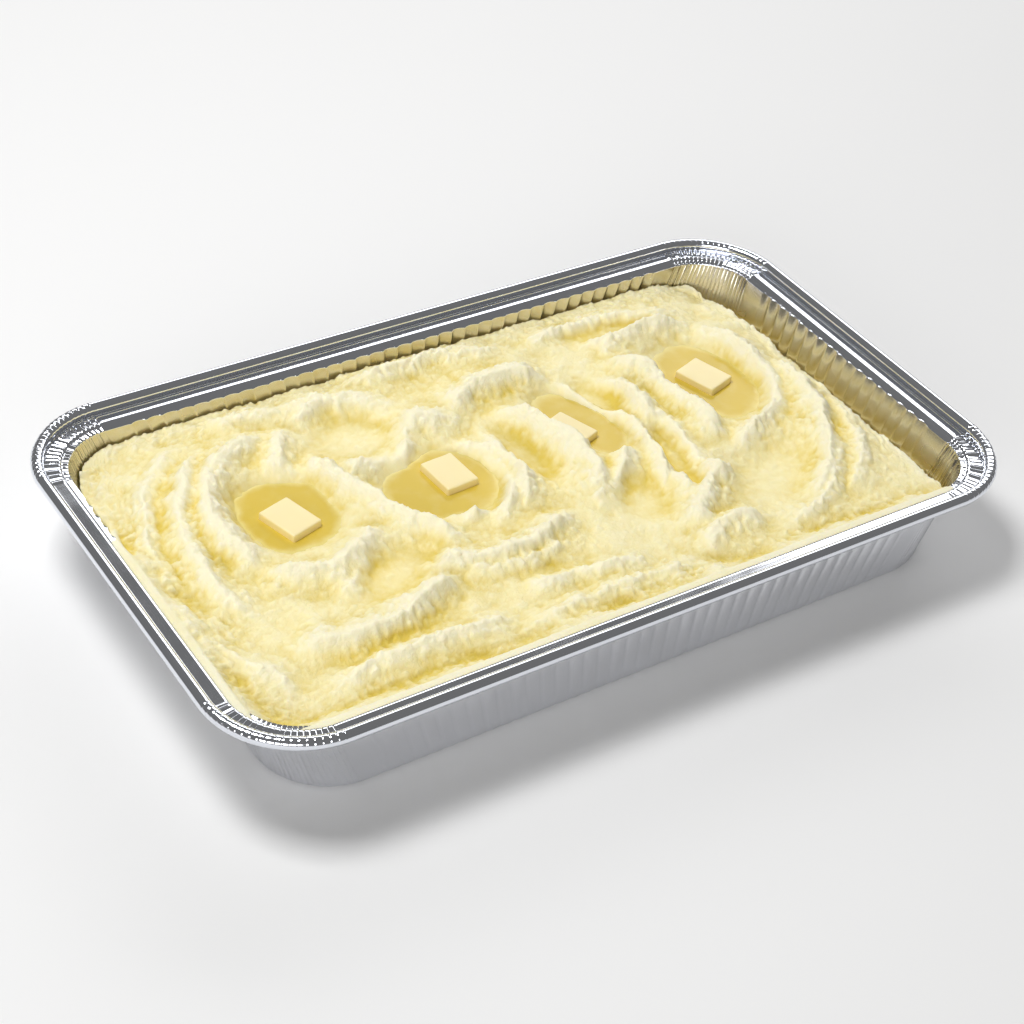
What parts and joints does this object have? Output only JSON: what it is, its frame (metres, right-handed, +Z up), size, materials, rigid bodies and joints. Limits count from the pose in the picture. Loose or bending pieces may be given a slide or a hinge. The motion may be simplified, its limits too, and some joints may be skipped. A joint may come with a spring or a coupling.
{
  "type": "tray of mashed potato",
  "caption": "Rectangular foil catering tray with a rolled rim, filled with spoon-swirled mashed potato and butter pats melting into yellow pools.",
  "frame": {"origin": "centre of the tray's flat underside", "axes": "+X along the tray's long side, +Y along its short side, +Z up"},
  "size_m": [0.527, 0.314, 0.0662],
  "materials": {
    "foil": "bright rolled aluminium foil, pleated at the corners",
    "mashed_potato": "moist, creamy mashed potato with a faint soft sheen",
    "butter": "soft butter with a waxy sheen",
    "melted_butter": "clear golden melted butter, wet gloss"
  },
  "bodies": {
    "root": {"foil_tray": "foil", "mashed_potato": "mashed_potato", "butter_pat_1": "butter", "butter_pat_2": "butter", "butter_pat_3": "butter", "butter_pat_4": "butter", "melted_butter_1": "melted_butter", "melted_butter_2": "melted_butter", "melted_butter_3": "melted_butter", "melted_butter_4": "melted_butter"}
  },
  "joints": []
}
